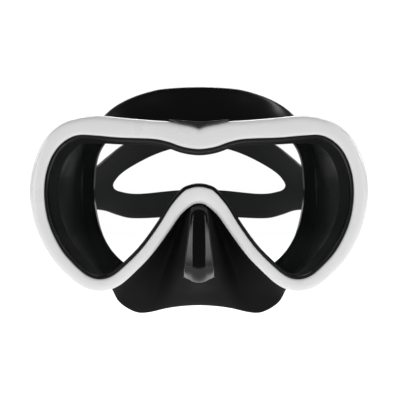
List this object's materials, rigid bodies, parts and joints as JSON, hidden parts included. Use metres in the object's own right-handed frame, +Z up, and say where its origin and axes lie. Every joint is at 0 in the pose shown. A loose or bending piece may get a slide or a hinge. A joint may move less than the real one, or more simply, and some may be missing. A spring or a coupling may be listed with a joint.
{
  "type": "diving mask",
  "caption": "Diving mask with a clear single lens in a white rim, black silicone skirt with nose pocket, and a split head strap on pivoting quick-release buckles.",
  "frame": {"origin": "face seal reference: on the mid-plane, at the mask's centre height, at the depth where the skirt meets the forehead and upper lip", "axes": "+X to the right seen from the front, +Y towards the wearer's head, +Z up"},
  "size_m": [0.1784, 0.1963, 0.1213],
  "materials": {
    "rim": "satin white",
    "ring": "matt",
    "glass": "clear tempered",
    "silicone": "glossy black",
    "clip": "satin black",
    "strap": "satin black",
    "buckle": "fine moulded texture",
    "pin": "brushed",
    "roller": "polished",
    "lever": "fine moulded texture",
    "spring": "drawn wire",
    "keeper": "satin black"
  },
  "bodies": {
    "mask": {"front_frame": "rim", "retainer_ring": "ring", "lens": "glass", "skirt": "silicone", "top_clip": "clip"},
    "strap_harness": {"strap": "strap", "buckle_body_right": "buckle", "buckle_body_left": "buckle", "pivot_pin_right": "pin", "pivot_pin_left": "pin", "roller_pin_right": "pin", "roller_pin_left": "pin", "lever_pin_right": "pin", "lever_pin_left": "pin", "lever_spring_right": "spring", "lever_spring_left": "spring"},
    "roller_right": {"roller_right": "roller"},
    "roller_left": {"roller_left": "roller"},
    "release_lever_right": {"release_lever_right": "lever"},
    "release_lever_left": {"release_lever_left": "lever"},
    "strap_keeper_right": {"strap_keeper_right": "keeper"},
    "strap_keeper_left": {"strap_keeper_left": "keeper"}
  },
  "joints": [
    {"name": "harness_swing", "type": "hinge", "parent": "mask", "child": "strap_harness", "pos_m": [0, -0.023, 0.005], "axis": [1, 0, 0], "range_deg": [-25, 30]},
    {"name": "lever_right", "type": "hinge", "parent": "strap_harness", "child": "release_lever_right", "pos_m": [0.0875, 0.005, 0.005], "axis": [0, 0, 1], "range_deg": [0, 12], "stiffness_Nm_per_rad": 0.02},
    {"name": "roller_right", "type": "hinge", "parent": "strap_harness", "child": "roller_right", "pos_m": [0.0802, -0.006, 0.005], "axis": [0, 0, 1], "continuous": true},
    {"name": "keeper_right", "type": "slide", "parent": "strap_harness", "child": "strap_keeper_right", "axis": [0, 1, 0], "range_m": [-0.002, 0.009]},
    {"name": "lever_left", "type": "hinge", "parent": "strap_harness", "child": "release_lever_left", "pos_m": [-0.0875, 0.005, 0.005], "axis": [0, 0, -1], "range_deg": [0, 12], "stiffness_Nm_per_rad": 0.02},
    {"name": "roller_left", "type": "hinge", "parent": "strap_harness", "child": "roller_left", "pos_m": [-0.0802, -0.006, 0.005], "axis": [0, 0, 1], "continuous": true},
    {"name": "keeper_left", "type": "slide", "parent": "strap_harness", "child": "strap_keeper_left", "axis": [0, 1, 0], "range_m": [-0.002, 0.009]}
  ]
}
